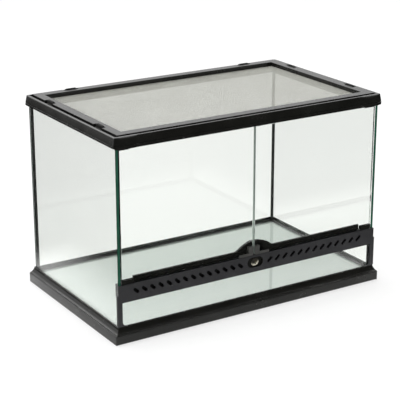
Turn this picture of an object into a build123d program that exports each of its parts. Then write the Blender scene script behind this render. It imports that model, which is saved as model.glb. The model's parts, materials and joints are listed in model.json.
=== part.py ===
from build123d import *
import os

os.makedirs("parts", exist_ok=True)

# Front-opening glass tank with a mesh lid. Millimetres.
# Origin: middle of the footprint, on the floor. +X runs right along the front, +Y to the back, +Z up.

# Driving dimensions
tank_w = 500.0  # outside to outside of the side panes
tank_d = 300.0  # front edges of the side panes to the back of the rear pane
glass = 5.0  # every pane
glass_foot = 16.5  # height of the ledge that the panes stand on
glass_head = 324.0  # top edges of the side and rear panes
half_w = tank_w / 2
half_d = tank_d / 2
inner_w = tank_w - 2 * glass  # between the side panes
centre_x = 4.0  # the lock and its hill sit a little right of the middle
gap_x = 2.0  # where the doors meet

# Base frame
base_out = 9.0  # how far it stands out from the glass
base_band = 17.5  # upright band
base_head = 28.0  # top of the cove, against the glass
cove_lip = 1.2  # thickness left at the top of the cove
cove_mid = (4.3, 22.2)  # a point half way down the cove, outwards and up
ledge_in = 7.0  # ledge under the panes, inwards
ledge_t = 3.0
wall = 2.5  # moulded walls

# Front bezel: the vent strip and its two posts
face_y = -half_d - wall  # front of the bezel
post_half = half_w + wall  # posts wrap the side panes
post_w = 8.5
window_head = 67.2
strip_head = 96.0
strip_half = half_w + 0.5
strip_back = -138.0
shoulder_z = 79.0  # below this the posts wrap round the side panes
wrap_back = -148.5
window_corner_r = 8.0
lower_pane_head = 72.0
strip_web = 75.0
strip_roof = 93.0
strip_fillet = 0.8
boss_w = 8.0  # square boss for the lower door pin
boss_foot = 87.0
pin_hole_foot = 88.0
insert_t = 0.5  # woven insert behind the slots
insert_end = 227.8
insert_gap = 15.6  # half of the space left for the lock
insert_foot = 76.0
insert_head = 92.5

# Slanted vent slots
slot_z = 83.3
slot_w = 5.3
slot_run = 7.0  # between the centres of a slot's round ends
slot_lean = 42.0  # from the horizontal
left_slots = (14, -219.0, -25.0)  # how many, first, last
right_slots = (13, 33.0, 217.0)

# Lock
lock_z = 84.0
lock_r = 7.5
running = 0.05  # radial clearance of what turns
housing_w = 30.0
housing_h = 17.0
housing_play = 0.3  # round the housing in the bezel
housing_back = -142.6
housing_proud = 0.5
dish_depth = 2.5
dish_edge = 1.5  # wall left round the dish at the oval's ends
barrel_back = -142.0
barrel_proud = 0.3
key_slot = (1.6, 8.0)
key_depth = 2.5
bolt_t = 2.0
bolt_reach = 17.0
bolt_w = 10.0
bolt_hub_r = 6.0
slit_left = 6.4  # slit in the strip's roof that the bolt comes up through
slit_right = 16.4
slit_play = 0.6
screw_r = 3.5
screw_t = 2.0
screw_slot = (0.9, 6.0)

# Doors
door_foot = 97.5
door_head = 313.8
door_half = 243.5
door_gap = 2.0
door_front = -half_d - 0.5
door_back = door_front + glass
pivot_x = 232.0
pivot_y = -148.0
pin_r = 1.5
pin_foot = 89.0
pin_head = 322.5
shoe_l = 21.5
shoe_h = 7.6
shoe_round = 6.0
cap_h = 3.5  # upper hinge cap, behind the pane only
cap_round = 2.0
clip_wall = 1.2
shoe_sole = 1.1
catch_gap = 1.5  # from the doors' meeting line
catch_w = 9.0  # upright part of a catch
catch_sole_l = 28.0  # shoe part along the door's lower edge
catch_sole_head = 101.0
catch_head = 112.0
catch_arm_foot = 103.0
catch_arm_head = 105.0
catch_lip_back = -138.0
catch_lip_front = -139.5

# Door stop: the rail behind the doors, with its hill over the lock
stop_y = door_back + 0.6
stop_t = 3.0
rail_head = 106.5
rail_half = 221.0
hill_x = 6.0
hill_half = 38.0
housing_half = 27.0  # the deeper part of the hill, round the pocket
housing_head = 118.0
hill_head = 120.0
hill_shape = ((0.75, 0.36), (0.5, 0.70), (0.25, 0.93))  # share of the half width, share of the rise
pocket_half = 17.0
pocket_roof = 114.0
pocket_back = -137.5
plate_back = -141.0
hill_back = -135.5

# Top frame
top_out = 3.0
top_foot = 317.0
top_head = 334.0
rim_side = 4.5  # the rim is wider along the sides than front and back
rim_front = 2.5
web_t = 2.0
skirt_x = 228.5
skirt_y = 128.5
skirt_t = 2.0
front_foot = 315.5  # the front wall reaches lower than the others
header_foot = 312.5
boss_l = 24.0
boss_back = -141.0
boss_hole = 6.5  # depth
bulge_x = 231.0
bulge_chord = 36.0
bulge_rise = 2.2

# Screen lid
screen_w = 489.0
screen_d = 294.0
screen_open_w = 457.0
screen_open_d = 262.0
screen_foot = glass_head + web_t
screen_head = 335.7
mesh_z = 328.0
mesh_t = 0.4
mesh_play = 0.1  # between the mesh and the inner wall over it
mesh_w = 472.0
mesh_d = 277.0
retainer_w = 4.5
retainer_h = 3.0
channel = 2.0  # walls of the lid's hollow frame
mesh_seat = 3.5  # ledge under the mesh, beyond the opening
lid_fillet = 0.8

# Lid clips
recess_l = 28.0
recess_in = 7.0
clip_l = 20.0
clip_foot = 330.0
clip_head = 337.0  # the tabs stand a little above the lid
tongue_h = 1.6
tongue_l = 3.4
tongue_pocket = 1.7
tongue_play = 0.3  # above and below a tongue in its pocket
tab_back = 0.5  # gap behind the tab in its recess
tab_front = 2.4  # the tab's front face, in from the lid's edge
ridge_places = (-3.6, -5.6)
ridge_w = 0.8
ridge_h = 0.6
ridge_margin = 2.0
seat_play = 0.1  # under a clip in its recess
tongue_back = 0.2  # the tongue's tip, in from the lid's edge, when released
side_clip_y = 85.0
rear_clip_x = 175.0
hairline = 0.01  # tolerance for picking edges by place


def save(part, label):
    """Names a finished piece and writes it as parts/label.step."""
    part.label = label
    export_step(part, "parts/" + label + ".step")


def block(x0, x1, y0, y1, z0, z1, mode=Mode.ADD):
    """A block from its two corners, added to the open part or cut from it."""
    with Locations(((x0 + x1) / 2, (y0 + y1) / 2, (z0 + z1) / 2)):
        Box(abs(x1 - x0), abs(y1 - y0), abs(z1 - z0), mode=mode)


def cut_block(x0, x1, y0, y1, z0, z1):
    """A block cut from the open part."""
    block(x0, x1, y0, y1, z0, z1, mode=Mode.SUBTRACT)


def ring(outer_w, outer_d, inner_ring_w, inner_ring_d, z0, z1):
    """A rectangular ring between two heights, added to the open part."""
    with BuildSketch(Plane.XY.offset(z0)) as outline:
        Rectangle(outer_w, outer_d)
        Rectangle(inner_ring_w, inner_ring_d, mode=Mode.SUBTRACT)
    extrude(outline.sketch, amount=z1 - z0)


# Base frame: one moulding with an upright band, a cove up to the glass and a ledge under it.
# It stands on its outer wall and on a rib under the panes.
# The section's first coordinate runs outwards from the glass, its second upwards.
section_plane = Plane(origin=(0, -half_d, 0), x_dir=(0, -1, 0), z_dir=(-1, 0, 0))
with BuildPart() as base_frame:
    with BuildLine() as base_path:
        Polyline(
            (0, -half_d),
            (-half_w, -half_d),
            (-half_w, half_d),
            (half_w, half_d),
            (half_w, -half_d),
            (0, -half_d),
        )
    with BuildSketch(section_plane) as base_section:
        with BuildLine():
            Polyline(
                (0, base_head),
                (0, glass_foot),
                (-ledge_in, glass_foot),
                (-ledge_in, glass_foot - ledge_t),
                (-wall, glass_foot - ledge_t),
                (-wall, 0),
                (0, 0),
                (0, base_band - wall),
                (base_out - wall, base_band - wall),
                (base_out - wall, 0),
                (base_out, 0),
                (base_out, base_band),
            )
            ThreePointArc((base_out, base_band), cove_mid, (cove_lip, base_head))
            Line((cove_lip, base_head), (0, base_head))
        make_face()
    sweep(path=base_path.line, transition=Transition.RIGHT)
save(base_frame.part, "base_frame")

# Panes. The floor and rear panes stand between the side panes.
with BuildPart() as floor_glass:
    block(-inner_w / 2, inner_w / 2, -half_d + glass, half_d - glass, glass_foot, glass_foot + glass)
save(floor_glass.part, "floor_glass")

for side, name in ((-1, "left_glass"), (1, "right_glass")):
    x_in = side * inner_w / 2
    x_out = side * half_w
    with BuildPart() as side_glass:
        block(x_in, x_out, -half_d, half_d, glass_foot, glass_head)
    save(side_glass.part, name)

with BuildPart() as rear_glass:
    block(-inner_w / 2, inner_w / 2, half_d - glass, half_d, glass_foot, glass_head)
save(rear_glass.part, "rear_glass")

with BuildPart() as front_lower_glass:
    block(-inner_w / 2, inner_w / 2, -half_d, -half_d + glass, glass_foot, lower_pane_head)
save(front_lower_glass.part, "front_lower_glass")

# Silicone beads: a mitred ring round the floor, and one up each inside corner above it
bead = 4.0
bead_waist = 1.3  # how far the middle of the bead's face is from each pane
floor_top = glass_foot + glass
bead_foot = floor_top + bead
inner_back = half_d - glass
with BuildPart() as floor_silicone:
    with BuildLine() as bead_path:
        Polyline(
            (0, -inner_back),
            (-inner_w / 2, -inner_back),
            (-inner_w / 2, inner_back),
            (inner_w / 2, inner_back),
            (inner_w / 2, -inner_back),
            (0, -inner_back),
        )
    bead_plane = Plane(origin=(0, -inner_back, 0), x_dir=(0, -1, 0), z_dir=(-1, 0, 0))
    with BuildSketch(bead_plane):
        with BuildLine():
            Line((0, floor_top), (0, bead_foot))
            ThreePointArc((0, bead_foot), (-bead_waist, floor_top + bead_waist), (-bead, floor_top))
            Line((-bead, floor_top), (0, floor_top))
        make_face()
    sweep(path=bead_path.line, transition=Transition.RIGHT)
save(floor_silicone.part, "floor_silicone")

corner_beads = (
    ("rear_left_silicone", -1, 1, glass_head),
    ("rear_right_silicone", 1, 1, glass_head),
    ("front_left_silicone", -1, -1, window_head),
    ("front_right_silicone", 1, -1, window_head),
)
for name, sx, sy, bead_head in corner_beads:
    cx = sx * inner_w / 2
    cy = sy * inner_back
    with BuildPart() as corner_bead:
        with BuildSketch(Plane.XY.offset(bead_foot)):
            with BuildLine():
                Line((cx, cy), (cx - sx * bead, cy))
                ThreePointArc(
                    (cx - sx * bead, cy),
                    (cx - sx * bead_waist, cy - sy * bead_waist),
                    (cx, cy - sy * bead),
                )
                Line((cx, cy - sy * bead), (cx, cy))
            make_face()
        extrude(amount=bead_head - bead_foot)
    save(corner_bead.part, name)


def slot_places():
    """X of each vent slot and which way it leans: -1 left of the lock, 1 right of it."""
    places = []
    for (count, first, last), lean in ((left_slots, -1), (right_slots, 1)):
        for i in range(count):
            places.append((first + (last - first) * i / (count - 1), lean))
    return places


# Front bezel: front wall with the window and the slots, the channel behind it that holds the
# lower pane and carries the doors, and the posts that wrap the side panes' front edges.
with BuildPart() as front_bezel:
    with BuildSketch(Plane.XZ.offset(half_d)):
        with BuildLine():
            Polyline(
                (-post_half, base_head),
                (post_half, base_head),
                (post_half, shoulder_z),
                (strip_half, shoulder_z),
                (strip_half, strip_head),
                (-strip_half, strip_head),
                (-strip_half, shoulder_z),
                (-post_half, shoulder_z),
                (-post_half, base_head),
            )
        make_face()
        window_w = 2 * (post_half - post_w)
        with Locations((0, (base_head + window_head) / 2)):
            Rectangle(window_w, window_head - base_head, mode=Mode.SUBTRACT)
    extrude(amount=wall)
    # flared feet of the posts
    for side in (-1, 1):
        corner_x = side * window_w / 2
        with BuildSketch(Plane.XZ.offset(half_d)):
            with BuildLine():
                Line((corner_x, base_head), (corner_x - side * window_corner_r, base_head))
                RadiusArc(
                    (corner_x - side * window_corner_r, base_head),
                    (corner_x, base_head + window_corner_r),
                    side * -window_corner_r,
                )
                Line((corner_x, base_head + window_corner_r), (corner_x, base_head))
            make_face()
        extrude(amount=wall)
        # the post's cheek along the side pane
        x_in = side * half_w
        x_out = side * post_half
        block(x_in, x_out, -half_d, wrap_back, base_head, shoulder_z)
    # channel: web and rear lip over the lower pane, roof under the doors, ends against the panes
    lip_front = -half_d + glass
    block(-inner_w / 2, inner_w / 2, -half_d, lip_front + wall, lower_pane_head, strip_web)
    block(-inner_w / 2, inner_w / 2, lip_front, lip_front + wall, window_head, lower_pane_head)
    block(-inner_w / 2, inner_w / 2, -half_d, strip_back, strip_roof, strip_head)
    for side in (-1, 1):
        x_in = side * (inner_w / 2 - wall)
        x_out = side * inner_w / 2
        block(x_in, x_out, -half_d, strip_back, strip_web, strip_roof)
        # boss for the lower door pin
        boss_x = side * pivot_x
        boss_rear = pivot_y + boss_w / 2
        block(boss_x - boss_w / 2, boss_x + boss_w / 2, -half_d, boss_rear, boss_foot, strip_roof)
        with BuildSketch(Plane.XY.offset(pin_hole_foot)):
            with Locations((boss_x, pivot_y)):
                Circle(pin_r + running)
        extrude(amount=strip_head - pin_hole_foot, mode=Mode.SUBTRACT)
    # vent slots
    with BuildSketch(Plane.XZ.offset(half_d)):
        for slot_x, lean in slot_places():
            with Locations((slot_x, slot_z)):
                SlotCenterToCenter(slot_run, slot_w, rotation=lean * slot_lean)
    extrude(amount=wall, mode=Mode.SUBTRACT)
    # hole for the lock housing
    with BuildSketch(Plane.XZ.offset(half_d)):
        with Locations((centre_x, lock_z)):
            SlotOverall(housing_w + housing_play, housing_h + housing_play)
    extrude(amount=wall, mode=Mode.SUBTRACT)
    # slit in the roof for the lock bolt
    slit_l = centre_x - slit_left
    slit_r = centre_x + slit_right
    slit_front = barrel_back - slit_play
    slit_back = barrel_back + bolt_t + slit_play
    cut_block(slit_l, slit_r, slit_front, slit_back, strip_roof, strip_head)
    # soft front edges of the vent strip
    long_edges = front_bezel.edges().filter_by(Axis.X)
    face_edges = long_edges.filter_by_position(Axis.Y, face_y - hairline, face_y + hairline)
    top_edges = face_edges.filter_by_position(Axis.Z, strip_head - hairline, strip_head + hairline)
    fillet(top_edges, radius=strip_fillet)
save(front_bezel.part, "front_bezel")

# Woven insert behind the slots, either side of the lock
insert_front = -half_d
insert_back = -half_d + insert_t
with BuildPart() as vent_insert:
    block(-insert_end, centre_x - insert_gap, insert_front, insert_back, insert_foot, insert_head)
    block(centre_x + insert_gap, insert_end, insert_front, insert_back, insert_foot, insert_head)
save(vent_insert.part, "vent_insert")

# Door stop: the rail and, over the lock, a hill with a deeper middle that has a pocket for the catches
with BuildPart() as door_stop:
    block(-rail_half, rail_half, stop_y, stop_y + stop_t, strip_head, rail_head)
    hill_parts = ((hill_half, hill_head, plate_back), (housing_half, housing_head, hill_back))
    for half, head, back in hill_parts:
        rise = head - rail_head
        right_slope = []
        left_slope = []
        for share, lift in hill_shape:
            right_slope.append((hill_x + share * half, rail_head + lift * rise))
            left_slope.insert(0, (hill_x - share * half, rail_head + lift * rise))
        with BuildSketch(Plane.XZ.offset(-stop_y)):
            with BuildLine():
                Polyline(
                    (hill_x - half, rail_head),
                    (hill_x - half, strip_head),
                    (hill_x + half, strip_head),
                    (hill_x + half, rail_head),
                )
                Spline(
                    (hill_x + half, rail_head),
                    *right_slope,
                    (hill_x, head),
                    *left_slope,
                    (hill_x - half, rail_head),
                    tangents=((-1, 0), (-1, 0)),
                )
            make_face()
        extrude(amount=stop_y - back)
    pocket_l = hill_x - pocket_half
    pocket_r = hill_x + pocket_half
    cut_block(pocket_l, pocket_r, stop_y, pocket_back, strip_head, pocket_roof)
save(door_stop.part, "door_stop")

# Lock: dished oval housing, keyed barrel, bolt and its screw
housing_face = -face_y + housing_proud
with BuildPart() as lock_housing:
    with BuildSketch(Plane.XZ.offset(-housing_back)):
        with Locations((centre_x, lock_z)):
            SlotOverall(housing_w, housing_h)
    extrude(amount=housing_face + housing_back)
    with BuildSketch(Plane.XZ.offset(housing_face)):
        with Locations((centre_x, lock_z)):
            SlotOverall(housing_w - 2 * dish_edge, housing_h - dish_edge)
    extrude(amount=-dish_depth, mode=Mode.SUBTRACT)
    with BuildSketch(Plane.XZ.offset(-housing_back)):
        with Locations((centre_x, lock_z)):
            Circle(lock_r + running)
    extrude(amount=housing_face + housing_back, mode=Mode.SUBTRACT)
save(lock_housing.part, "lock_housing")

with BuildPart() as lock_barrel:
    with BuildSketch(Plane.XZ.offset(-barrel_back)):
        with Locations((centre_x, lock_z)):
            Circle(lock_r)
    extrude(amount=barrel_back - face_y + barrel_proud)
    front_rim = lock_barrel.edges().filter_by(GeomType.CIRCLE).sort_by(Axis.Y)[0]
    chamfer(front_rim, length=2 * barrel_proud)
    with BuildSketch(Plane.XZ.offset(-face_y + barrel_proud)):
        with Locations((centre_x, lock_z)):
            Rectangle(*key_slot)
            Circle(key_slot[0])
    extrude(amount=-key_depth, mode=Mode.SUBTRACT)
save(lock_barrel.part, "lock_barrel")

with BuildPart() as lock_bolt:
    with BuildSketch(Plane.XZ.offset(-barrel_back)):
        with Locations((centre_x + (bolt_reach - bolt_w / 2) / 2, lock_z)):
            Rectangle(bolt_reach + bolt_w / 2, bolt_w)
        with Locations((centre_x, lock_z)):
            Circle(bolt_hub_r)
    extrude(amount=-bolt_t)
save(lock_bolt.part, "lock_bolt")

screw_front = -barrel_back - bolt_t
with BuildPart() as lock_screw:
    with BuildSketch(Plane.XZ.offset(screw_front)):
        with Locations((centre_x, lock_z)):
            Circle(screw_r)
    extrude(amount=-screw_t)
    with BuildSketch(Plane.XZ.offset(screw_front - screw_t)):
        with Locations((centre_x, lock_z)):
            Rectangle(*screw_slot)
            Rectangle(*reversed(screw_slot))
    extrude(amount=screw_t / 2, mode=Mode.SUBTRACT)
save(lock_screw.part, "lock_screw")

# Doors: frameless panes with clips on their corners
for side, hand in ((-1, "left"), (1, "right")):
    x_free = gap_x + side * door_gap / 2
    x_hinge = side * door_half
    with BuildPart() as door_glass:
        block(x_free, x_hinge, door_front, door_back, door_foot, door_head)
    save(door_glass.part, hand + "_door_glass")

    # hinge pieces: below, a shoe with two cheeks over the pane's corner; above, a cap with one cheek
    # behind the pane. Their inner ends are rounded.
    lower_cheeks = (door_front - clip_wall, door_back)
    for level, sign, edge_z, height, round_r, cheeks in (
        ("lower", 1, door_foot, shoe_h, shoe_round, lower_cheeks),
        ("upper", -1, door_head, cap_h, cap_round, (door_back,)),
    ):
        sole_z = edge_z - sign * shoe_sole
        tip_z = sole_z + sign * height
        x_tip = x_hinge - side * shoe_l
        with BuildPart() as hinge_shoe:
            for y_face in cheeks:
                with BuildSketch(Plane.XZ.offset(-y_face)):
                    with BuildLine():
                        Polyline(
                            (x_tip + side * round_r, tip_z),
                            (x_hinge, tip_z),
                            (x_hinge, sole_z),
                            (x_tip, sole_z),
                            (x_tip, tip_z - sign * round_r),
                        )
                        RadiusArc(
                            (x_tip, tip_z - sign * round_r),
                            (x_tip + side * round_r, tip_z),
                            -side * sign * round_r,
                        )
                    make_face()
                extrude(amount=-clip_wall)
            block(x_tip, x_hinge, door_front, door_back, sole_z, edge_z)
            with BuildSketch(Plane.XY.offset(sole_z)):
                with Locations((side * pivot_x, pivot_y)):
                    Circle(pin_r)
            extrude(amount=sign * shoe_sole, mode=Mode.SUBTRACT)
        save(hinge_shoe.part, hand + "_" + level + "_shoe")

    for level, z_foot, z_head in (("lower", pin_foot, door_foot), ("upper", door_head, pin_head)):
        with BuildPart() as hinge_pin:
            with BuildSketch(Plane.XY.offset(z_foot)):
                with Locations((side * pivot_x, pivot_y)):
                    Circle(pin_r)
            extrude(amount=z_head - z_foot)
        save(hinge_pin.part, hand + "_" + level + "_pin")

    # catch at the free corner: a shoe along the lower edge with an upright clip at its end, and
    # behind it an arm and a lip that the lock bolt holds
    x_a = gap_x + side * catch_gap
    x_b = x_a + side * catch_w
    x_c = x_a + side * catch_sole_l
    with BuildPart() as door_catch:
        block(x_a, x_c, door_front - clip_wall, door_back, door_foot - shoe_sole, door_foot)
        block(x_a, x_c, door_front - clip_wall, door_front, door_foot, catch_sole_head)
        block(x_a, x_b, door_front - clip_wall, door_front, catch_sole_head, catch_head)
        block(x_a, x_b, door_back, door_back + clip_wall, door_foot - shoe_sole, catch_head)
        block(x_a, x_b, door_back + clip_wall, catch_lip_back, catch_arm_foot, catch_arm_head)
        block(x_a, x_b, catch_lip_front, catch_lip_back, door_foot, catch_arm_foot)
    save(door_catch.part, hand + "_door_catch")

# Top frame: four lengths of one section welded at the corners. Each has an outer wall over the
# glass, a web that carries the lid, a rim round the lid and an inner skirt.
outer_x = half_w + top_out
outer_y = half_d + top_out
rim_in_x = outer_x - rim_side
rim_in_y = outer_y - rim_front
web_top = glass_head + web_t
tongue_foot = clip_foot - tongue_play
tongue_top = clip_foot + tongue_h + tongue_play
tongue_half = clip_l / 2 + 1

for side, name in ((-1, "top_frame_left"), (1, "top_frame_right")):
    with BuildPart() as top_side:
        block(side * half_w, side * outer_x, -half_d, half_d, top_foot, glass_head)
        block(side * skirt_x, side * outer_x, -skirt_y, skirt_y, glass_head, web_top)
        block(side * rim_in_x, side * outer_x, -rim_in_y, rim_in_y, web_top, top_head)
        block(side * skirt_x, side * (skirt_x + skirt_t), -skirt_y, skirt_y, top_foot, glass_head)
        # pockets for the tongues of the lid clips
        x_in = side * rim_in_x
        x_out = side * (rim_in_x + tongue_pocket)
        for y in (-side_clip_y, side_clip_y):
            cut_block(x_in, x_out, y - tongue_half, y + tongue_half, tongue_foot, tongue_top)
    save(top_side.part, name)


def front_rear_section(side, wall_foot):
    """The section's four walls along the front (-1) or the rear (1)."""
    block(-outer_x, outer_x, side * half_d, side * outer_y, wall_foot, glass_head)
    block(-outer_x, outer_x, side * skirt_y, side * outer_y, glass_head, web_top)
    block(-outer_x, outer_x, side * rim_in_y, side * outer_y, web_top, top_head)
    skirt_out = skirt_x + skirt_t
    block(-skirt_out, skirt_out, side * skirt_y, side * (skirt_y + skirt_t), top_foot, glass_head)


with BuildPart() as top_frame_rear:
    front_rear_section(1, top_foot)
    for x in (-rear_clip_x, rear_clip_x):
        y_out = rim_in_y + tongue_pocket
        cut_block(x - tongue_half, x + tongue_half, rim_in_y, y_out, tongue_foot, tongue_top)
save(top_frame_rear.part, "top_frame_rear")

# The front length also has the header that the doors close on, and at each end a bulge of the
# wall and a boss with the hole for the upper door pin.
with BuildPart() as top_frame_front:
    front_rear_section(-1, front_foot)
    block(-rail_half, rail_half, stop_y, stop_y + stop_t, header_foot, glass_head)
    for side in (-1, 1):
        bulge_lo = side * bulge_x - bulge_chord / 2
        bulge_hi = side * bulge_x + bulge_chord / 2
        with BuildSketch(Plane.XY.offset(front_foot)):
            with BuildLine():
                Polyline(
                    (bulge_lo, -outer_y),
                    (bulge_lo, -outer_y + 1),
                    (bulge_hi, -outer_y + 1),
                    (bulge_hi, -outer_y),
                )
                ThreePointArc(
                    (bulge_hi, -outer_y),
                    (side * bulge_x, -outer_y - bulge_rise),
                    (bulge_lo, -outer_y),
                )
            make_face()
        extrude(amount=top_head - front_foot)
        boss_x = side * pivot_x
        block(boss_x - boss_l / 2, boss_x + boss_l / 2, -half_d, boss_back, top_foot, glass_head)
        with BuildSketch(Plane.XY.offset(top_foot)):
            with Locations((boss_x, pivot_y)):
                Circle(pin_r + running)
        extrude(amount=boss_hole, mode=Mode.SUBTRACT)
save(top_frame_front.part, "top_frame_front")

# Screen lid: hollow frame, mesh and the retainer that clamps the mesh in the frame
with BuildPart() as screen_frame:
    seat_w = screen_open_w + 2 * mesh_seat
    seat_d = screen_open_d + 2 * mesh_seat
    ring(screen_w, screen_d, seat_w, seat_d, screen_foot, mesh_z)
    ring(screen_w, screen_d, screen_w - 2 * channel, screen_d - 2 * channel, mesh_z, screen_head)
    ring(screen_w, screen_d, screen_open_w, screen_open_d, screen_head - channel, screen_head)
    ring(
        screen_open_w + 2 * channel,
        screen_open_d + 2 * channel,
        screen_open_w,
        screen_open_d,
        mesh_z + mesh_t + mesh_play,
        screen_head - channel,
    )
    # a block with a recess in it for each clip
    edge_x = screen_w / 2
    edge_y = screen_d / 2
    half_l = recess_l / 2
    half_block = half_l + channel
    block_in = recess_in + 1
    block_head = screen_head - channel
    for side in (-1, 1):
        for y in (-side_clip_y, side_clip_y):
            x_a = side * (edge_x - block_in)
            x_b = side * (edge_x - channel)
            block(x_a, x_b, y - half_block, y + half_block, mesh_z, block_head)
            x_a = side * (edge_x - recess_in)
            x_b = side * edge_x
            cut_block(x_a, x_b, y - half_l, y + half_l, clip_foot, screen_head)
    for x in (-rear_clip_x, rear_clip_x):
        block(x - half_block, x + half_block, edge_y - block_in, edge_y - channel, mesh_z, block_head)
        cut_block(x - half_l, x + half_l, edge_y - recess_in, edge_y, clip_foot, screen_head)
    all_edges = screen_frame.edges()
    top_rim = all_edges.filter_by_position(Axis.Z, screen_head - hairline, screen_head + hairline)
    long_rim = top_rim.filter_by(lambda e: e.length > screen_open_d - 1)
    fillet(long_rim, radius=lid_fillet)
save(screen_frame.part, "screen_frame")

with BuildPart() as screen_mesh:
    block(-mesh_w / 2, mesh_w / 2, -mesh_d / 2, mesh_d / 2, mesh_z, mesh_z + mesh_t)
save(screen_mesh.part, "screen_mesh")

with BuildPart() as screen_retainer:
    ring(
        mesh_w,
        mesh_d,
        mesh_w - 2 * retainer_w,
        mesh_d - 2 * retainer_w,
        mesh_z + mesh_t,
        mesh_z + mesh_t + retainer_h,
    )
save(screen_retainer.part, "screen_retainer")

# Lid clips: a thumb tab with two ridges and a tongue that enters the rim's pocket
clips = (
    ("left_front_clip", (-edge_x, -side_clip_y), 180),
    ("left_rear_clip", (-edge_x, side_clip_y), 180),
    ("right_front_clip", (edge_x, -side_clip_y), 0),
    ("right_rear_clip", (edge_x, side_clip_y), 0),
    ("rear_left_clip", (-rear_clip_x, edge_y), 90),
    ("rear_right_clip", (rear_clip_x, edge_y), 90),
)
seat_z = clip_foot + seat_play
tab_h = clip_head - seat_z
tab_l = recess_in - tab_back - tab_front
for name, (x, y), turn in clips:
    # the clip's own X points outwards from the lid's edge
    seat = Plane(origin=(x, y, seat_z), x_dir=(1, 0, 0), z_dir=(0, 0, 1)).rotated((0, 0, turn))
    with BuildPart() as lid_clip:
        with BuildSketch(seat):
            with Locations((-tab_front - tab_l / 2, 0)):
                Rectangle(tab_l, clip_l)
        extrude(amount=tab_h)
        with BuildSketch(seat):
            with Locations((-tongue_back - tongue_l / 2, 0)):
                Rectangle(tongue_l, clip_l)
        extrude(amount=tongue_h)
        with BuildSketch(seat.offset(tab_h)):
            for ridge in ridge_places:
                with Locations((ridge, 0)):
                    Rectangle(ridge_w, clip_l - 2 * ridge_margin)
        extrude(amount=ridge_h)
    save(lid_clip.part, name)
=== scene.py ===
# %% [markdown]
# # A front-opening glass tank with a mesh lid
# The tank is five panes of float glass glued into a moulded black base, with two glass doors in front, a
# vented strip with a lock under them, and a lid of woven wire in a black frame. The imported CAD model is
# the fixed frame that everything here stands in, so places and outer sizes come from the CAD nodes'
# boxes, and only small section sizes are given here, in millimetres.

# %% Load the frame
import json
import math

import bmesh
import bpy
import numpy as np
from mathutils import Matrix, Vector

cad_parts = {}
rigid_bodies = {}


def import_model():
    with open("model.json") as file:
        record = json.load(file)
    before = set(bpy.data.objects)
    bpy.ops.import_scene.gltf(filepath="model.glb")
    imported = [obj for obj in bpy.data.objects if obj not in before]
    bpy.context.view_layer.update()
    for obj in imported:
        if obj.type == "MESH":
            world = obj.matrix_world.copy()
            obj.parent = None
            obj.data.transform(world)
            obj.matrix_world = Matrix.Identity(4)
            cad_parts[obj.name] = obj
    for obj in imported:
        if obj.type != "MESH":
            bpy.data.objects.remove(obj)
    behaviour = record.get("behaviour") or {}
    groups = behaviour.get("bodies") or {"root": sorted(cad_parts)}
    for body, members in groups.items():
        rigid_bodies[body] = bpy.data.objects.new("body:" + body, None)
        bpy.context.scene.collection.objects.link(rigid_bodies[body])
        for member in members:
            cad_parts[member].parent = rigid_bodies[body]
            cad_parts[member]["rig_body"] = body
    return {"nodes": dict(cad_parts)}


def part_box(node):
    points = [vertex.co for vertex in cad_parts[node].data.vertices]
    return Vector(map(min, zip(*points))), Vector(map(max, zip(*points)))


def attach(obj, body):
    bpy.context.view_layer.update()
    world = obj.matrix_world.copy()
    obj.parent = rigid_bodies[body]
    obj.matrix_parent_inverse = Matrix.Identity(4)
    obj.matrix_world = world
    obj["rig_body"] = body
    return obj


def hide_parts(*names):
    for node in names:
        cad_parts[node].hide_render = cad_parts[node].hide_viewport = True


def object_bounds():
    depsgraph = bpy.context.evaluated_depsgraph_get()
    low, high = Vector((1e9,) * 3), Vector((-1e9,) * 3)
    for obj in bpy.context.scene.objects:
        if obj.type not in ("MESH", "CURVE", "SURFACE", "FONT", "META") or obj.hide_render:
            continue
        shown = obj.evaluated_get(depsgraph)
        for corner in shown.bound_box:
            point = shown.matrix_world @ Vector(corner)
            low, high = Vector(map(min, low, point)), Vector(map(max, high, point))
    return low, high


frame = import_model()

cad_box = [list(corner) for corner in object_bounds()]
MM = 0.001
print("CAD box, m:", cad_box)

# %% [markdown]
# ## Camera
# A long lens from the front left, a little above the lid. A long lens keeps the uprights almost parallel,
# which is how small tanks are usually shown. The camera is built from the direction it looks in, so its
# three axes are written out rather than found by constraints.

# %% Camera
CAMERA_PLACE = Vector((-1.142, -1.815, 0.878))
CAMERA_YAW = math.radians(32.01)
CAMERA_PITCH = math.radians(18.8)
CAMERA_ROLL = math.radians(-0.03)
CAMERA_LENS = 119.2  # mm on a 36 mm sensor

forward = Vector(
    (
        math.sin(CAMERA_YAW) * math.cos(CAMERA_PITCH),
        math.cos(CAMERA_YAW) * math.cos(CAMERA_PITCH),
        -math.sin(CAMERA_PITCH),
    )
)
level = Vector((math.cos(CAMERA_YAW), -math.sin(CAMERA_YAW), 0.0))
upright = level.cross(forward)
right = math.cos(CAMERA_ROLL) * level + math.sin(CAMERA_ROLL) * upright
up = right.cross(forward)
turn = Matrix((right, up, -forward)).transposed().to_4x4()
camera_data = bpy.data.cameras.new("studio_camera")
camera_data.lens = CAMERA_LENS
camera_data.sensor_width = 36.0
camera = bpy.data.objects.new("studio_camera", camera_data)
camera.matrix_world = Matrix.Translation(CAMERA_PLACE) @ turn
bpy.context.scene.collection.objects.link(camera)
bpy.context.scene.camera = camera
bpy.context.scene.view_settings.view_transform = "Standard"

# %% [markdown]
# ## Two small helpers for colour and nodes
# Colours are chosen as sRGB hex values, as a painter or a paint chart gives them, and the shader needs
# linear light. Node trees are built with one function that adds a node, sets it and links it.


# %% Colour and node helpers
def linear(code):
    """A hex colour as linear RGBA: the sRGB curve undone on each channel."""
    channels = [int(code[i : i + 2], 16) / 255 for i in (1, 3, 5)]
    return [c / 12.92 if c <= 0.04045 else ((c + 0.055) / 1.055) ** 2.4 for c in channels] + [1.0]


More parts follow.
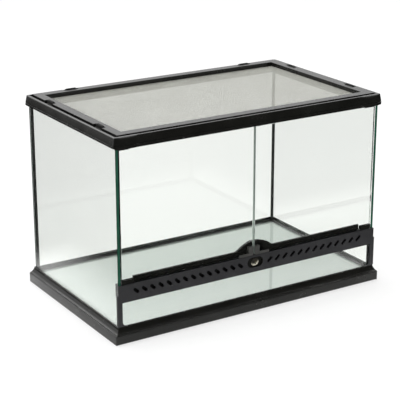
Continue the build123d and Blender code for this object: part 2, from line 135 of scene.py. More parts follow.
def add(tree, kind, **given):
    """Adds a node. A value or a socket given by an input's name (spaces as _) sets or links that input;
    any other name is one of the node's own settings. Inputs may also be given by number, as in_0."""
    node = tree.nodes.new(kind)
    for key, value in given.items():
        if hasattr(node, key) and not key.startswith("in_"):
            setattr(node, key, value)
            continue
        if key.startswith("in_"):
            socket = node.inputs[int(key[3:])]
        else:
            socket = node.inputs[key.replace("_", " ")]
        if isinstance(value, bpy.types.NodeSocket):
            tree.links.new(value, socket)
        else:
            socket.default_value = value
    return node


def new_material(name):
    """An empty material with its output node; returns the material, its tree and the output."""
    material = bpy.data.materials.new(name)
    material.use_nodes = True
    tree = material.node_tree
    tree.nodes.clear()
    return material, tree, tree.nodes.new("ShaderNodeOutputMaterial")


# %% [markdown]
# ## Studio
# Glass and black plastic are drawn by what they mirror. To the eye, and to light that comes through the
# panes, the studio is plain white. Mirrored light sees a room that is dark in front and to the left,
# white behind, and brightest high up, where the lamps hang. So upright faces stay black while top faces
# turn grey and rounded top edges catch a bright line. High is Z + 0.25 Y, which leans the lamps a little
# to the back.

# %% World
world = bpy.data.worlds.new("studio")
bpy.context.scene.world = world
world.use_nodes = True
sky = world.node_tree
sky.nodes.clear()
BACKDROP = linear("#fefefe")
STUDIO_DARK = linear("#262626")
LAMPS = 3.2  # how much brighter than the backdrop
direction = add(sky, "ShaderNodeTexCoord")
split = add(sky, "ShaderNodeSeparateXYZ", Vector=direction.outputs["Generated"])
behind = add(
    sky, "ShaderNodeMapRange", interpolation_type="SMOOTHSTEP", Value=split.outputs["Y"],
    From_Min=-0.25, From_Max=0.35,
)
height = add(
    sky, "ShaderNodeMath", operation="MULTIPLY_ADD", in_0=split.outputs["Y"], in_1=0.25,
    in_2=split.outputs["Z"],
)
high = add(
    sky, "ShaderNodeMapRange", interpolation_type="SMOOTHSTEP", Value=height.outputs[0],
    From_Min=0.53, From_Max=0.75, To_Max=LAMPS,
)
reflected = add(
    sky, "ShaderNodeMix", data_type="RGBA", in_0=behind.outputs[0], in_6=STUDIO_DARK, in_7=BACKDROP
)
path = add(sky, "ShaderNodeLightPath")
mirrored = add(sky, "ShaderNodeMath", operation="GREATER_THAN", in_0=path.outputs["Glossy Depth"], in_1=0.5)
seen = add(
    sky, "ShaderNodeMix", data_type="RGBA", in_0=mirrored.outputs[0], in_6=BACKDROP,
    in_7=reflected.outputs[2],
)
lamps = add(
    sky, "ShaderNodeMath", operation="MULTIPLY_ADD", in_0=mirrored.outputs[0], in_1=high.outputs[0],
    in_2=1.0,
)
light = add(sky, "ShaderNodeBackground", Color=seen.outputs[2], Strength=lamps.outputs[0])
add(sky, "ShaderNodeOutputWorld", Surface=light.outputs[0])

# %% [markdown]
# ## Floor
# The floor is lit paper: it glows a little, as a light table does, so the tank's shadow on it stays
# faint. It reaches far enough to fill the view. Mirrored light sees it lit only round the tank, within
# about 0.1 m of the base, by the distance max(|x| - half width, |y| - half depth).

# %% Floor and soft boxes
FLOOR_RADIUS = 8.0
GLOW = 0.62
rim = np.linspace(0, 2 * np.pi, 96, endpoint=False)
disc = np.stack([np.cos(rim), np.sin(rim), 0 * rim], 1) * FLOOR_RADIUS
floor_mesh = bpy.data.meshes.new("studio_floor")
floor_mesh.from_pydata(disc.tolist(), [], [list(range(len(disc)))])
floor = bpy.data.objects.new("studio_floor", floor_mesh)
bpy.context.scene.collection.objects.link(floor)
paper, tree, out = new_material("lit_white_paper")
place = add(tree, "ShaderNodeTexCoord")
fibre = add(tree, "ShaderNodeTexNoise", Vector=place.outputs["Object"], Scale=1 / (20 * MM), Detail=2.0)
tint = add(
    tree, "ShaderNodeMix", data_type="RGBA", in_0=fibre.outputs[0], in_6=linear("#fdfdfd"),
    in_7=linear("#ffffff"),
)
where = add(tree, "ShaderNodeSeparateXYZ", Vector=place.outputs["Object"])
beyond = []
for axis, half in (("X", cad_box[1][0]), ("Y", cad_box[1][1])):
    size = add(tree, "ShaderNodeMath", operation="ABSOLUTE", in_0=where.outputs[axis])
    beyond.append(add(tree, "ShaderNodeMath", operation="SUBTRACT", in_0=size.outputs[0], in_1=half))
distance = add(
    tree, "ShaderNodeMath", operation="MAXIMUM", in_0=beyond[0].outputs[0], in_1=beyond[1].outputs[0]
)
near = add(
    tree, "ShaderNodeMapRange", interpolation_type="SMOOTHSTEP", Value=distance.outputs[0],
    From_Min=0.01, From_Max=0.16, To_Min=1.0, To_Max=0.0,
)
path = add(tree, "ShaderNodeLightPath")
direct = add(tree, "ShaderNodeMath", operation="LESS_THAN", in_0=path.outputs["Glossy Depth"], in_1=0.5)
lit = add(tree, "ShaderNodeMath", operation="MAXIMUM", in_0=near.outputs[0], in_1=direct.outputs[0])
shown = add(
    tree, "ShaderNodeMix", data_type="RGBA", in_0=lit.outputs[0], in_6=STUDIO_DARK, in_7=tint.outputs[2]
)
matt = add(tree, "ShaderNodeBsdfDiffuse", Color=shown.outputs[2])
glow = add(tree, "ShaderNodeEmission", Color=shown.outputs[2], Strength=1.0)
mix = add(tree, "ShaderNodeMixShader", in_0=GLOW, in_1=matt.outputs[0], in_2=glow.outputs[0])
tree.links.new(mix.outputs[0], out.inputs["Surface"])
floor_mesh.materials.append(paper)


def soft_box(name, place, aim, width, height, watts):
    """A rectangular area light turned to face a point."""
    data = bpy.data.lights.new(name, "AREA")
    data.shape = "RECTANGLE"
    data.size = width
    data.size_y = height
    data.energy = watts
    box = bpy.data.objects.new(name, data)
    box.location = place
    box.rotation_euler = (Vector(aim) - Vector(place)).to_track_quat("-Z", "Y").to_euler()
    bpy.context.scene.collection.objects.link(box)


soft_box("top_soft_box", (-0.2, 0.5, 1.9), (0, 0, 0.1), 1.6, 1.0, 14)
soft_box("left_soft_box", (-1.9, 0.2, 1.0), (0, 0, 0.2), 0.8, 1.2, 6)

# %% [markdown]
# ## Moulded plastics
# The frames are injection-moulded ABS, a dielectric with an index near 1.5. It is set lower for the ABS
# pieces here, at 1.3 to 1.41, because the lamps are strong and black faces would turn grey. The mould is
# lightly spark-eroded, which leaves a fine grain, and handling polishes it unevenly. So the bump gets a
# noise at the grain's size, under 1 mm, and the colour and the roughness share one at 40 mm.


# %% Moulded plastic
POLISH_MM = 40


def moulded_plastic(name, dark, pale, rough_low, rough_high, grain_mm, bump, ior=1.5):
    """ABS with a fine mould grain and uneven polish. dark and pale are the two ends of its colour."""
    material, tree, out = new_material(name)
    place = add(tree, "ShaderNodeTexCoord")
    polish = add(
        tree, "ShaderNodeTexNoise", Vector=place.outputs["Object"], Scale=1 / (POLISH_MM * MM), Detail=3.0,
        Roughness=0.6,
    )
    grain = add(
        tree, "ShaderNodeTexNoise", Vector=place.outputs["Object"], Scale=1 / (grain_mm * MM), Detail=2.0
    )
    shade = add(tree, "ShaderNodeMapRange", Value=polish.outputs[0], From_Min=0.3, From_Max=0.7)
    colour = add(
        tree, "ShaderNodeMix", data_type="RGBA", in_0=shade.outputs[0], in_6=linear(dark), in_7=linear(pale)
    )
    rough = add(
        tree, "ShaderNodeMapRange", Value=polish.outputs[0], From_Min=0.3, From_Max=0.7,
        To_Min=rough_low, To_Max=rough_high,
    )
    relief = add(tree, "ShaderNodeBump", Strength=bump, Distance=0.05 * MM, Height=grain.outputs[0])
    body = add(
        tree, "ShaderNodeBsdfPrincipled", Base_Color=colour.outputs[2], Roughness=rough.outputs[0],
        IOR=ior, Normal=relief.outputs[0],
    )
    tree.links.new(body.outputs[0], out.inputs["Surface"])
    return material


# glossy near-black frames
black_abs = moulded_plastic("moulded_black_abs", "#11110f", "#1b1b18", 0.16, 0.3, 0.8, 0.2, ior=1.41)
# the lid's satin border reads as a mid grey at a low angle
satin_abs = moulded_plastic("satin_black_abs", "#131312", "#1c1c1a", 0.22, 0.34, 0.8, 0.25, ior=1.38)
# the vent strip is duller and a touch cooler
charcoal_abs = moulded_plastic("moulded_charcoal_abs", "#2a2a2c", "#333335", 0.4, 0.5, 0.5, 0.3, ior=1.4)
# the lid's clips are matt, so they stay dark on the grey border
clip_abs = moulded_plastic("moulded_clip_abs", "#121211", "#1f1f1d", 0.5, 0.65, 0.6, 0.3, ior=1.3)
# painted highlight: the catches are given a lighter grey than the pocket they stand in, so that they read
# as lit ribs
catch_abs_painted_highlight = moulded_plastic("grey_abs_painted_highlight", "#3c3c3a", "#4b4b48", 0.35, 0.5, 0.6, 0.3, ior=1.4)
extruded_pvc = moulded_plastic("extruded_black_pvc", "#121212", "#1c1c1c", 0.5, 0.65, 0.4, 0.3)
silicone = moulded_plastic("black_sealant", "#1b1c1b", "#2b2d2b", 0.3, 0.5, 3.0, 0.5)

# %% [markdown]
# ## Float glass
# Soda-lime float glass has an index of 1.52 and a slight green from iron. Across 5 mm the green hardly
# shows, but along a pane the light crosses far more glass, so the fixed panes' edges look deep teal. The
# faces are a clear dielectric that lets lamps through. Where two panes are glued, the hidden edge shows
# the black sealant. The floor pane is enamelled pale underneath, as tank bottoms are, so the base's
# inside doesn't show.


# %% Glass
def float_glass():
    """The clear faces of a pane: a dielectric to the eye, and plain tinted clearness to lamps."""
    material, tree, out = new_material("clear_float_glass")
    place = add(tree, "ShaderNodeTexCoord")
    draw = add(tree, "ShaderNodeTexNoise", Vector=place.outputs["Object"], Scale=1 / (180 * MM), Detail=1.0)
    tint = add(
        tree, "ShaderNodeMix", data_type="RGBA", in_0=draw.outputs[0], in_6=linear("#fafcfa"),
        in_7=linear("#fdfefc"),
    )
    pane = add(
        tree, "ShaderNodeBsdfPrincipled", Base_Color=tint.outputs[2], Roughness=0.0, IOR=1.5,
        Transmission_Weight=1.0,
    )
    lamp_path = add(tree, "ShaderNodeLightPath")
    through = add(tree, "ShaderNodeBsdfTransparent", Color=tint.outputs[2])
    dim = add(
        tree, "ShaderNodeMath", operation="MAXIMUM", in_0=lamp_path.outputs["Is Shadow Ray"],
        in_1=lamp_path.outputs["Is Diffuse Ray"],
    )
    mix = add(
        tree, "ShaderNodeMixShader", in_0=dim.outputs[0], in_1=pane.outputs[0], in_2=through.outputs[0]
    )
    tree.links.new(mix.outputs[0], out.inputs["Surface"])
    return material


def streaked(name, low, high, grain_mm, roughness, ior):
    """A glossy coat in two close colours that drift over a grain: a ground glass edge, or fired enamel."""
    material, tree, out = new_material(name)
    place = add(tree, "ShaderNodeTexCoord")
    drift = add(
        tree, "ShaderNodeTexNoise", Vector=place.outputs["Object"], Scale=1 / (grain_mm * MM), Detail=2.0
    )
    colour = add(
        tree, "ShaderNodeMix", data_type="RGBA", in_0=drift.outputs[0], in_6=linear(low), in_7=linear(high)
    )
    coat = add(tree, "ShaderNodeBsdfPrincipled", Base_Color=colour.outputs[2], Roughness=roughness, IOR=ior)
    tree.links.new(coat.outputs[0], out.inputs["Surface"])
    return material


glass_face = float_glass()
# polished edges: deep teal, from the length of glass behind them
glass_edge = streaked("polished_glass_edge", "#173a2c", "#2b5a48", 25, 0.12, 1.5)
# the doors' free edges are ground pale, and show as a light line where the doors meet
pale_edge = streaked("pale_ground_edge", "#8f9a94", "#b4beb8", 25, 0.2, 1.5)
# painted shade: the doors' lower edges are coloured near-black for the dark gap over the vent strip that
# they look into
painted_shade_edge = streaked("painted_shade_ground_edge", "#0b0e0c", "#141816", 25, 0.3, 1.5)
# enamel under the floor pane: pale and cool, so the floor of the tank reads as milky
enamel = streaked("pale_floor_enamel", "#c6cdcb", "#ced4d3", 60, 0.5, 1.4)

# %% [markdown]
# ## Metals
# The lid is woven from aluminium wire with a dull oxide skin. The lock is nickel-plated brass, turned and
# polished, and the pins are drawn steel. A metal keeps the default index, and its colour is what it
# mirrors.


# %% Metals
def bare_metal(name, low, high, rough, grain_mm, stretch):
    """A metal with fine lines. stretch divides the noise along X, Y and Z: lines run along a long one."""
    material, tree, out = new_material(name)
    place = add(tree, "ShaderNodeTexCoord")
    lined = add(tree, "ShaderNodeMapping", Vector=place.outputs["Object"], Scale=[1 / s for s in stretch])
    lines = add(tree, "ShaderNodeTexNoise", Vector=lined.outputs[0], Scale=1 / (grain_mm * MM), Detail=3.0)
    colour = add(
        tree, "ShaderNodeMix", data_type="RGBA", in_0=lines.outputs[0], in_6=linear(low), in_7=linear(high)
    )
    gloss = add(tree, "ShaderNodeMapRange", Value=lines.outputs[0], To_Min=rough * 0.8, To_Max=rough * 1.2)
    metal = add(
        tree, "ShaderNodeBsdfPrincipled", Base_Color=colour.outputs[2], Metallic=1.0,
        Roughness=gloss.outputs[0],
    )
    tree.links.new(metal.outputs[0], out.inputs["Surface"])
    return material


lock_nickel = bare_metal("polished_nickel_plate", "#b9b3a4", "#ded8c8", 0.2, 0.6, (1, 1, 6))
zinc_steel = bare_metal("zinc_plated_steel", "#8c8d8a", "#b4b5b0", 0.35, 1.0, (4, 1, 1))
drawn_steel = bare_metal("drawn_steel_pin", "#80817f", "#a5a6a3", 0.3, 0.5, (1, 1, 8))
woven_black = bare_metal("blackened_wire_weave", "#1a1a1a", "#2a2a2a", 0.5, 0.8, (1, 1, 1))


def screen_wire():
    """Aluminium screen wire with a dull pale skin: partly metal, because oxide and lacquer cover it."""
    material, tree, out = new_material("aluminium_screen_wire")
    place = add(tree, "ShaderNodeTexCoord")
    cloud = add(tree, "ShaderNodeTexNoise", Vector=place.outputs["Object"], Scale=1 / (60 * MM), Detail=3.0)
    colour = add(
        tree, "ShaderNodeMix", data_type="RGBA", in_0=cloud.outputs[0], in_6=linear("#a2a29b"),
        in_7=linear("#b6b6af"),
    )
    wire = add(
        tree, "ShaderNodeBsdfPrincipled", Base_Color=colour.outputs[2], Metallic=0.3, Roughness=0.55
    )
    tree.links.new(wire.outputs[0], out.inputs["Surface"])
    return material


wire_skin = screen_wire()


# %% [markdown]
# ## Panes
# A pane is a box with its sharp arrises taken off. The two large faces are clear, the other four are
# edges. A Bevel modifier grinds the arrises, as a glazier does with a belt.


# %% Panes
ARRIS = 0.5 * MM
PLAY = 0.05 * MM  # a pane's faces never share a plane with what they touch
DIRECTIONS = ("-x", "+x", "-y", "+y", "-z", "+z")
# a box's eight corners, 1 where the high one is meant, and its six sides in the order of DIRECTIONS
BOX_CORNERS = np.array([[i & 1, i >> 1 & 1, i >> 2 & 1] for i in range(8)])
BOX_SIDES = np.array([(0, 4, 6, 2), (1, 3, 7, 5), (0, 1, 5, 4), (2, 6, 7, 3), (0, 2, 3, 1), (4, 5, 7, 6)])


def pane(node, sides):
    """A glass pane in a CAD node's box. sides gives the finish of any side that isn't clear."""
    lo, hi = (np.array(corner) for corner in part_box(node))
    lo, hi = lo + PLAY, hi - PLAY
    points = np.where(BOX_CORNERS, hi, lo)
    mesh = bpy.data.meshes.new(node + "_pane")
    mesh.from_pydata(points.tolist(), [], BOX_SIDES.tolist())
    finishes = [glass_face, glass_edge, pale_edge, painted_shade_edge, silicone, enamel]
    for material in finishes:
        mesh.materials.append(material)
    for polygon, side in zip(mesh.polygons, DIRECTIONS):
        polygon.material_index = finishes.index(sides.get(side, glass_face))
    piece = bpy.data.objects.new(node + "_pane", mesh)
    bpy.context.scene.collection.objects.link(piece)
    arris = piece.modifiers.new("arris", "BEVEL")
    arris.width = ARRIS
    arris.segments = 2
    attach(piece, frame["nodes"][node]["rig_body"])
    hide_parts(node)
    return piece


pane("floor_glass", {"-x": silicone, "+x": silicone, "-y": silicone, "+y": silicone, "-z": enamel})
pane("left_glass", {"-y": glass_edge, "+y": glass_edge, "+z": glass_edge, "-z": silicone})
pane("right_glass", {"-y": glass_edge, "+y": glass_edge, "+z": glass_edge, "-z": silicone})
pane("rear_glass", {"-x": silicone, "+x": silicone, "+z": glass_edge, "-z": silicone})
pane("front_lower_glass", {"-x": silicone, "+x": silicone, "+z": glass_edge, "-z": silicone})
pane("left_door_glass", {"+z": glass_edge, "-z": painted_shade_edge, "+x": pale_edge})
pane("right_door_glass", {"+z": glass_edge, "-z": painted_shade_edge, "-x": pale_edge})
print("panes: 7")


# %% [markdown]
# ## Frames carried round a rectangle
# A frame moulding is one section carried round a rounded rectangle. The path is a row of stations, each
# with a centre, an outward direction and, at the corners, the diagonal. A section point stands a distance
# out from the path. Inside the corner's centre the stations share one point, which is a mitre, and
# merging closes it.


# %% Ring of one section
def stations(half_x, half_y, corner_r, front_x=(), corner_steps=6):
    """Stations anticlockwise from the front right corner: centre, outward direction and diagonal of each.
    front_x adds stations along the front at those places."""
    centres, outward, diagonal = [], [], []
    for quarter, (sx, sy) in enumerate(((1, -1), (1, 1), (-1, 1), (-1, -1))):
        start = -np.pi / 2 + quarter * np.pi / 2
        for a in np.linspace(start, start + np.pi / 2, corner_steps + 1):
            centres.append((sx * (half_x - corner_r), sy * (half_y - corner_r)))
            outward.append((np.cos(a), np.sin(a)))
            diagonal.append((sx, sy))
    for x in front_x:
        centres.append((x, -half_y + corner_r))
        outward.append((0.0, -1.0))
        diagonal.append((0.0, -1.0))
    return np.array(centres), np.array(outward), np.array(diagonal)


def carried(path, corner_r, sections):
    """Points of a section carried along the path. sections is (stations or 1, points, 2): distance out
    from the path and height. A point is centre + outward * max(r + u, 0) + diagonal * min(r + u, 0)."""
    centres, outward, diagonal = (row[:, None, :] for row in path)
    reach = corner_r + sections[..., 0]
    plan = centres + outward * np.maximum(reach, 0)[..., None] + diagonal * np.minimum(reach, 0)[..., None]
    height = np.broadcast_to(sections[..., 1], plan.shape[:2])
    return np.concatenate([plan, height[..., None]], -1)


def closed_grid(name, points, material, body, close_rows=True):
    """A mesh over a grid of points (rows, columns, 3), closed both ways, merged and turned outwards."""
    rows, columns = points.shape[:2]
    i = np.arange(rows if close_rows else rows - 1)[:, None]
    j = np.arange(columns)[None, :]
    nxt_i, nxt_j = (i + 1) % rows, (j + 1) % columns
    corners = (i * columns + j, nxt_i * columns + j, nxt_i * columns + nxt_j, i * columns + nxt_j)
    quads = np.stack(np.broadcast_arrays(*corners), -1).reshape(-1, 4)
    mesh = bpy.data.meshes.new(name)
    mesh.from_pydata(points.reshape(-1, 3).tolist(), [], quads.tolist())
    tidy_mesh(mesh)
    mesh.materials.append(material)
    piece = bpy.data.objects.new(name, mesh)
    bpy.context.scene.collection.objects.link(piece)
    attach(piece, body)
    return piece


def tidy_mesh(mesh):
    """Merges doubled points, drops flat faces, turns all normals outwards and smooths gentle edges."""
    edit = bmesh.new()
    edit.from_mesh(mesh)
    bmesh.ops.remove_doubles(edit, verts=edit.verts, dist=0.002 * MM)
    bmesh.ops.dissolve_degenerate(edit, edges=edit.edges, dist=0.002 * MM)
    bmesh.ops.recalc_face_normals(edit, faces=edit.faces)
    edit.to_mesh(mesh)
    edit.free()
    mesh.shade_smooth()
    mesh.set_sharp_from_angle(angle=math.radians(32))


def arc(centre, radius, start, end, steps):
    """Points along an arc, angles in degrees, the end included."""
    a = np.radians(np.linspace(start, end, steps + 1))
    return np.stack([centre[0] + radius * np.cos(a), centre[1] + radius * np.sin(a)], -1)


# %% [markdown]
# ## Base
# The base has an upright band that curves under at the floor, more in front than at the sides, a thin
# groove and a ridge above it, then a shallow cove up to a bead against the glass. The ridge and the bead
# catch thin bright lines. The cove is a straight slope bowed in by t (1 - t) times its depth.

# %% Base moulding
lo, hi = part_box("base_frame")
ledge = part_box("floor_glass")[0].z
BASE_CORNER = 3.0 * MM
OVERHANG = 9.0 * MM
RIB = OVERHANG + 2.5 * MM
slope_t = np.linspace(0, 1, 9)[:, None]
slope = (1 - slope_t) * (-2.7, 17.9) + slope_t * (-7.3, 26.6) - slope_t * (1 - slope_t) * (2.0, 1.3)


def base_section(foot_r):
    """Section of the base, its band curving under to the floor with a radius foot_r in millimetres."""
    outer_face = np.concatenate(
        [
            [(-5.0, 0.0)],
            arc((-foot_r, foot_r), foot_r, -90, 0, 6),
            arc((-1.1, 15.3), 1.1, 0, 80, 5),
            [(-1.3, 15.6), (-1.6, 15.6)],
            arc((-2.2, 17.2), 0.6, 0, 90, 3),
            slope,
            arc((-7.9, 27.2), 0.8, 0, 90, 4),
        ]
    )
    inner_face = [
        (-OVERHANG, hi.z), (-OVERHANG, ledge), (-OVERHANG - 7 * MM, ledge),
        (-OVERHANG - 7 * MM, ledge - 3 * MM), (-RIB, ledge - 3 * MM), (-RIB, 0), (-OVERHANG, 0),
        (-OVERHANG, 15 * MM), (-5.0 * MM, 15 * MM),
    ]
    return np.concatenate([outer_face * MM, inner_face])


base_path = stations(hi.x, hi.y, BASE_CORNER)
in_front = base_path[1][:, 1] < -0.5
base_sections = np.where(in_front[:, None, None], base_section(4.0), base_section(1.2))
base = closed_grid(
    "base_moulding", carried(base_path, BASE_CORNER, base_sections), black_abs, "tank"
)
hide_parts("base_frame")
print("base moulding:", len(base.data.polygons), "faces")

# %% [markdown]
# ## Top frame
# The same way: a lip, a groove above it, a wall that leans in to the rim and a round edge on top, and two
# bulges of the front wall over the upper door pins. A bulge pushes the outer points of the front out by a
# bump, rise * (1 - (x / half)^2)^0.5, and lowers the round edge there, so that its top leans forward.

# %% Top frame moulding
side_lo, side_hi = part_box("top_frame_left")
front_lo, front_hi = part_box("top_frame_front")
HALF_X = front_hi.x
HALF_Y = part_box("top_frame_rear")[1].y
FOOT, HEAD = side_lo.z, side_hi.z
FRONT_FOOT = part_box("left_door_glass")[1].z + 1.7 * MM
TOP_CORNER = 2.5 * MM
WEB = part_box("screen_frame")[0].z
GLASS_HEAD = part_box("left_glass")[1].z
SKIRT_IN = HALF_X + side_hi.x
LIP_HEAD = 320.6 * MM
EDGE_POINTS = 8  # points of the round edge on top
OUTER_POINTS = 11 + EDGE_POINTS


def frame_section(rim, edge_r, foot):
    """Section of the top frame for a rim's width, its edge's radius and the foot of the outer wall.
    Outer points come first, bottom to top."""
    outer = np.concatenate(
        [
            [(-2.6 * MM, foot)],
            arc((1.1 * MM, foot + 1.2 * MM), 1.2 * MM, -90, 0, 5),
            [(2.3 * MM, LIP_HEAD), (1.6 * MM, LIP_HEAD + 0.4 * MM), (1.6 * MM, LIP_HEAD + 0.9 * MM)],
            [(2.1 * MM, LIP_HEAD + 1.3 * MM)],
            arc((-edge_r, HEAD - edge_r), edge_r, 8, 90, EDGE_POINTS - 1),
        ]
    )
    inner = np.array(
        [
            (-rim + 0.5 * MM, HEAD), (-rim + 0.1 * MM, HEAD - 0.2 * MM), (-rim, HEAD - 0.6 * MM),
            (-rim, WEB), (-SKIRT_IN, WEB), (-SKIRT_IN, FOOT), (-SKIRT_IN + 2 * MM, FOOT),
            (-SKIRT_IN + 2 * MM, GLASS_HEAD), (-3 * MM, GLASS_HEAD), (-3 * MM, foot),
        ]
    )
    return np.concatenate([outer, inner])


BULGE_X = 231.0 * MM
BULGE_HALF = 18.0 * MM
BULGE_RISE = 3.0 * MM
BULGE_DROP = 2.6 * MM
BULGE_REACH = 1.25  # stations run a little past a bulge's ends
bulge_row = np.linspace(-BULGE_REACH, BULGE_REACH, 26) * BULGE_HALF
bulge_steps = np.concatenate([side * BULGE_X + bulge_row for side in (-1, 1)])
front_x = np.sort(bulge_steps[np.abs(bulge_steps) < HALF_X - TOP_CORNER - 1 * MM])
top_path = stations(HALF_X, HALF_Y, TOP_CORNER, front_x)
side_section = frame_section(4.5 * MM, 2.0 * MM, FOOT)
rear_section = frame_section(2.5 * MM, 1.2 * MM, FOOT)
front_section = frame_section(5.6 * MM, 2.2 * MM, FRONT_FOOT)
outward_x, outward_y = top_path[1][:, :1, None], top_path[1][:, 1:, None]
sections = np.where(np.abs(outward_x) > np.abs(outward_y), side_section, rear_section)
sections = np.where(-outward_y >= np.abs(outward_x), front_section, sections)
near_pin = 1 - (np.abs(np.abs(top_path[0][:, 0]) - BULGE_X) / BULGE_HALF) ** 2
bump = (np.clip(near_pin, 0, 1) ** 0.5 * (top_path[1][:, 1] < -0.99))[:, None]
wall_share = np.concatenate([np.ones(OUTER_POINTS - EDGE_POINTS), np.linspace(1, 0, EDGE_POINTS)])
sections[:, :OUTER_POINTS, 0] += BULGE_RISE * bump * wall_share
edge = slice(OUTER_POINTS - EDGE_POINTS, OUTER_POINTS)
sections[:, edge, 1] -= BULGE_DROP * bump * wall_share[edge]
top = closed_grid(
    "top_frame_moulding", carried(top_path, TOP_CORNER, sections), black_abs, "tank"
)
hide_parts("top_frame_front", "top_frame_rear", "top_frame_left", "top_frame_right")
print("top frame:", len(top.data.polygons), "faces")

# %% [markdown]
# ## Under the top frame
# The header that the doors close on, and the two bosses with the upper door pins, are plain ribs of the
# front length with their corners rounded by a Bevel modifier.


# %% Header and bosses
def ribs(name, boxes, material, body, softness):
    """Blocks given by their corners, in one mesh, with corners rounded by softness."""
    points = np.concatenate([np.where(BOX_CORNERS, high, low) for low, high in boxes])
    faces = np.concatenate([BOX_SIDES + 8 * i for i in range(len(boxes))])
    mesh = bpy.data.meshes.new(name)
    mesh.from_pydata(points.tolist(), [], faces.tolist())
    mesh.materials.append(material)
    piece = bpy.data.objects.new(name, mesh)
    bpy.context.scene.collection.objects.link(piece)
    soft = piece.modifiers.new("soft_corners", "BEVEL")
    soft.width = softness
    soft.segments = 3
    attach(piece, body)
    return piece


HEADER_DEEP = 3 * MM
BOSS_HALF = 12 * MM
BOSS_BEHIND_PIN = 5.5 * MM
stop_lo, stop_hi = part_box("door_stop")
wall_back = stop_lo.y + HEADER_DEEP
header_boxes = [((stop_lo.x, stop_lo.y, front_lo.z), (stop_hi.x, wall_back, GLASS_HEAD))]
for hand in ("left", "right"):
    pin_lo, pin_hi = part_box(hand + "_upper_pin")
    pin_x = (pin_lo.x + pin_hi.x) / 2
    boss_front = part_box("left_glass")[0].y
    header_boxes.append(
        ((pin_x - BOSS_HALF, boss_front, FOOT), (pin_x + BOSS_HALF, pin_hi.y + BOSS_BEHIND_PIN, GLASS_HEAD))
    )
header = ribs("door_header", header_boxes, black_abs, "tank", 0.5 * MM)
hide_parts("top_frame_front")
print("header and bosses:", len(header_boxes), "blocks")

# %% [markdown]
# ## Hinge shoes
# The lower shoes clasp the doors' corners: a sole and two cheeks with softened edges that catch the
# light.

# %% Lower hinge shoes
CHEEK = 1.2 * MM
SOLE = 1.1 * MM
for hand in ("left", "right"):
    shoe_lo, shoe_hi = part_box(hand + "_lower_shoe")
    front_cheek = (shoe_lo, (shoe_hi.x, shoe_lo.y + CHEEK, shoe_hi.z))
    rear_cheek = ((shoe_lo.x, shoe_hi.y - CHEEK, shoe_lo.z), shoe_hi)
    sole = ((shoe_lo.x, shoe_lo.y + CHEEK, shoe_lo.z), (shoe_hi.x, shoe_hi.y - CHEEK, shoe_lo.z + SOLE))
    node = hand + "_lower_shoe"
    shoe = ribs(
        node + "_soft", [front_cheek, rear_cheek, sole], black_abs, frame["nodes"][node]["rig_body"],
        0.45 * MM,
    )
    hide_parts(node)
print("hinge shoes: 2")

# %% [markdown]
# ## Lock face
# The barrel's face is a shallow polished dome, so its lower part mirrors the white floor and its upper
# part the dark room. The dome falls away from its crown by r^2 / 2R. The key slot is sunk in it, with
# rings of points that blend from the slot's rounded outline to the barrel's circle.

# %% Domed lock barrel
barrel_lo, barrel_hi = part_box("lock_barrel")
barrel_r = (barrel_hi.x - barrel_lo.x) / 2
lock_x = (barrel_hi.x + barrel_lo.x) / 2
lock_z = (barrel_hi.z + barrel_lo.z) / 2
DOME_R = 17.0 * MM
SLOT_HALF = np.array([0.8, 4.0]) * MM
SLOT_DEPTH = 2.5 * MM
round_angle = np.linspace(0, 2 * np.pi, 64, endpoint=False)
circle = np.stack([np.cos(round_angle), np.sin(round_angle)], -1)
slot_outline = SLOT_HALF * np.sign(circle) * np.abs(circle) ** 0.35
blend = np.linspace(0, 1, 13)[:, None, None] ** 1.3
dome_plan = (1 - blend) * slot_outline + blend * (barrel_r - 0.15 * MM) * circle
dome_y = barrel_lo.y + (dome_plan**2).sum(-1) / (2 * DOME_R)
slot_floor = np.full(64, barrel_lo.y + SLOT_DEPTH)
rows = [
    (slot_outline * 0, slot_floor),
    (slot_outline * 0.9, slot_floor),
    (slot_outline * 0.95, dome_y[0]),
    *zip(dome_plan, dome_y),
    (barrel_r * circle, dome_y[-1] + 0.2 * MM),
    (barrel_r * circle, np.full(64, barrel_hi.y)),
    (barrel_r * 0 * circle, np.full(64, barrel_hi.y)),
]
barrel_points = np.array(
    [np.stack([lock_x + plan[:, 0], depth, lock_z + plan[:, 1]], -1) for plan, depth in rows]
)
barrel = closed_grid(
    "lock_barrel_domed", barrel_points, lock_nickel, "lock", close_rows=False
)
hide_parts("lock_barrel")
print("lock barrel:", len(barrel.data.polygons), "faces")

# %% [markdown]
# ## Lid mesh
# Insect screen is woven from fine wire. Each wire here is a straight six-sided rod, and the two sets lie
# one on the other, because at this size the weave's own wave can't be seen and would cost a million
# faces. The pitch of 1.5 mm is a little coarser than real screen, so that the wires show.

# %% Woven lid mesh
mesh_lo, mesh_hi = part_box("screen_mesh")
WIRE_PITCH = 1.5 * MM
WIRE_R = 0.15 * MM


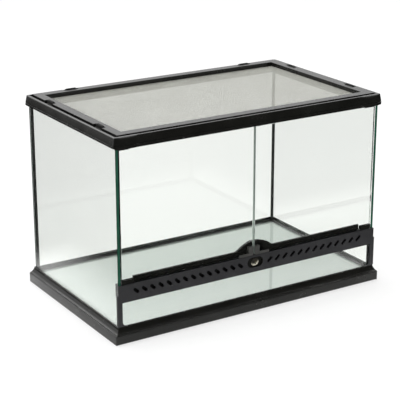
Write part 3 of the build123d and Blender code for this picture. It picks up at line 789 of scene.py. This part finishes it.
def wires(along, across_axis, height):
    """Rods parallel to one axis, spaced along the other: (points, quads) of all of them at once."""
    span = mesh_hi[across_axis] - mesh_lo[across_axis]
    count = int(span / WIRE_PITCH)
    places = mesh_lo[across_axis] + WIRE_PITCH / 2 + np.arange(count) * WIRE_PITCH
    a = np.arange(6) * np.pi / 3
    points = np.zeros((count, 2, 6, 3))
    points[..., across_axis] = places[:, None, None] + WIRE_R * np.cos(a)
    points[..., 2] = height + WIRE_R * np.sin(a)
    points[:, 0, :, along] = mesh_lo[along]
    points[:, 1, :, along] = mesh_hi[along]
    k = np.arange(6)
    side = np.stack([k, (k + 1) % 6, 6 + (k + 1) % 6, 6 + k], -1)
    quads = (np.arange(count)[:, None, None] * 12 + side).reshape(-1, 4)
    return points.reshape(-1, 3), quads


warp_points, warp_quads = wires(0, 1, mesh_lo.z + WIRE_R)
weft_points, weft_quads = wires(1, 0, mesh_hi.z - WIRE_R)
woven = bpy.data.meshes.new("woven_lid_mesh")
woven.from_pydata(
    np.concatenate([warp_points, weft_points]).tolist(),
    [],
    np.concatenate([warp_quads, weft_quads + len(warp_points)]).tolist(),
)
tidy_mesh(woven)
woven.materials.append(wire_skin)
lid_mesh = bpy.data.objects.new("woven_lid_mesh", woven)
bpy.context.scene.collection.objects.link(lid_mesh)
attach(lid_mesh, "screen_lid")
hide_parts("screen_mesh")
print("lid mesh:", len(woven.polygons), "faces")

# %% [markdown]
# ## Finishes of the carried-over CAD pieces
# These pieces keep their CAD shape. Each takes the finish of what it is made of.

# %% CAD finishes
CAD_FINISHES = {
    "front_bezel": charcoal_abs,
    "vent_insert": woven_black,
    "door_stop": black_abs,
    "lock_housing": black_abs,
    "lock_bolt": zinc_steel,
    "lock_screw": zinc_steel,
    "screen_frame": satin_abs,
    "screen_retainer": extruded_pvc,
    "floor_silicone": silicone,
    "rear_left_silicone": silicone,
    "rear_right_silicone": silicone,
    "front_left_silicone": silicone,
    "front_right_silicone": silicone,
}
for hand in ("left", "right"):
    CAD_FINISHES[f"{hand}_upper_shoe"] = black_abs
    for level_name in ("lower", "upper"):
        CAD_FINISHES[f"{hand}_{level_name}_pin"] = drawn_steel
    CAD_FINISHES[f"{hand}_door_catch"] = catch_abs_painted_highlight
for node in frame["nodes"]:
    if node.endswith("_clip"):
        CAD_FINISHES[node] = clip_abs
for node, finish in CAD_FINISHES.items():
    data = frame["nodes"][node].data
    data.materials.clear()
    data.materials.append(finish)
print("CAD pieces finished:", len(CAD_FINISHES))
